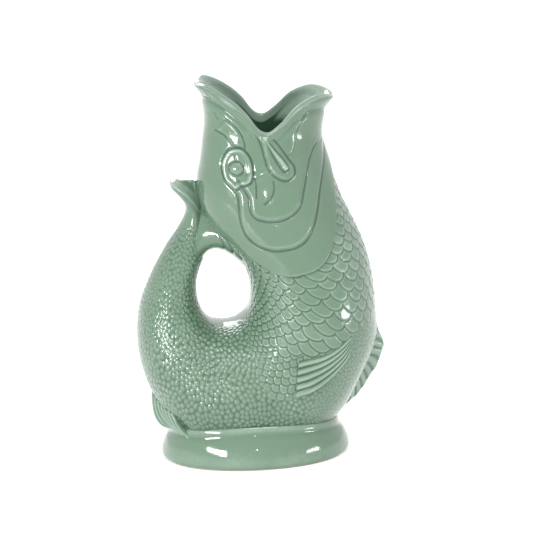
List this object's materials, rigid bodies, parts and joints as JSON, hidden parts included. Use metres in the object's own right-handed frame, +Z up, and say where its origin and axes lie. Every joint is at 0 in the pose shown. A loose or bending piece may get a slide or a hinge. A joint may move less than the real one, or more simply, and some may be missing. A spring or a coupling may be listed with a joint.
{
  "type": "gurgle jug",
  "caption": "Fish-shaped ceramic jug on an oval foot, with an open-jaw mouth, a finger hole under the curled hollow tail and moulded fins, eyes and cheeks.",
  "frame": {"origin": "centre of the foot's oval underside, on the table", "axes": "+Z up, +X towards the breast and lower jaw, -Y the fish's right flank"},
  "size_m": [0.1607, 0.107, 0.249],
  "materials": {
    "glaze": "gloss",
    "bare_clay": "matte"
  },
  "bodies": {
    "root": {"foot_ring": "glaze", "base_floor": "bare_clay", "rump_shell": "glaze", "belly_shell": "glaze", "breast_shell": "glaze", "head_shell": "glaze", "lip_rim": "glaze", "tail_shell": "glaze", "tail_fin": "glaze", "tail_web": "glaze", "breast_fin": "glaze", "right_pectoral_fin": "glaze", "left_pectoral_fin": "glaze", "right_rear_fin": "glaze", "left_rear_fin": "glaze", "right_eye": "glaze", "left_eye": "glaze", "right_cheek_plate": "glaze", "left_cheek_plate": "glaze", "right_jaw_fold": "glaze", "left_jaw_fold": "glaze"}
  },
  "joints": []
}
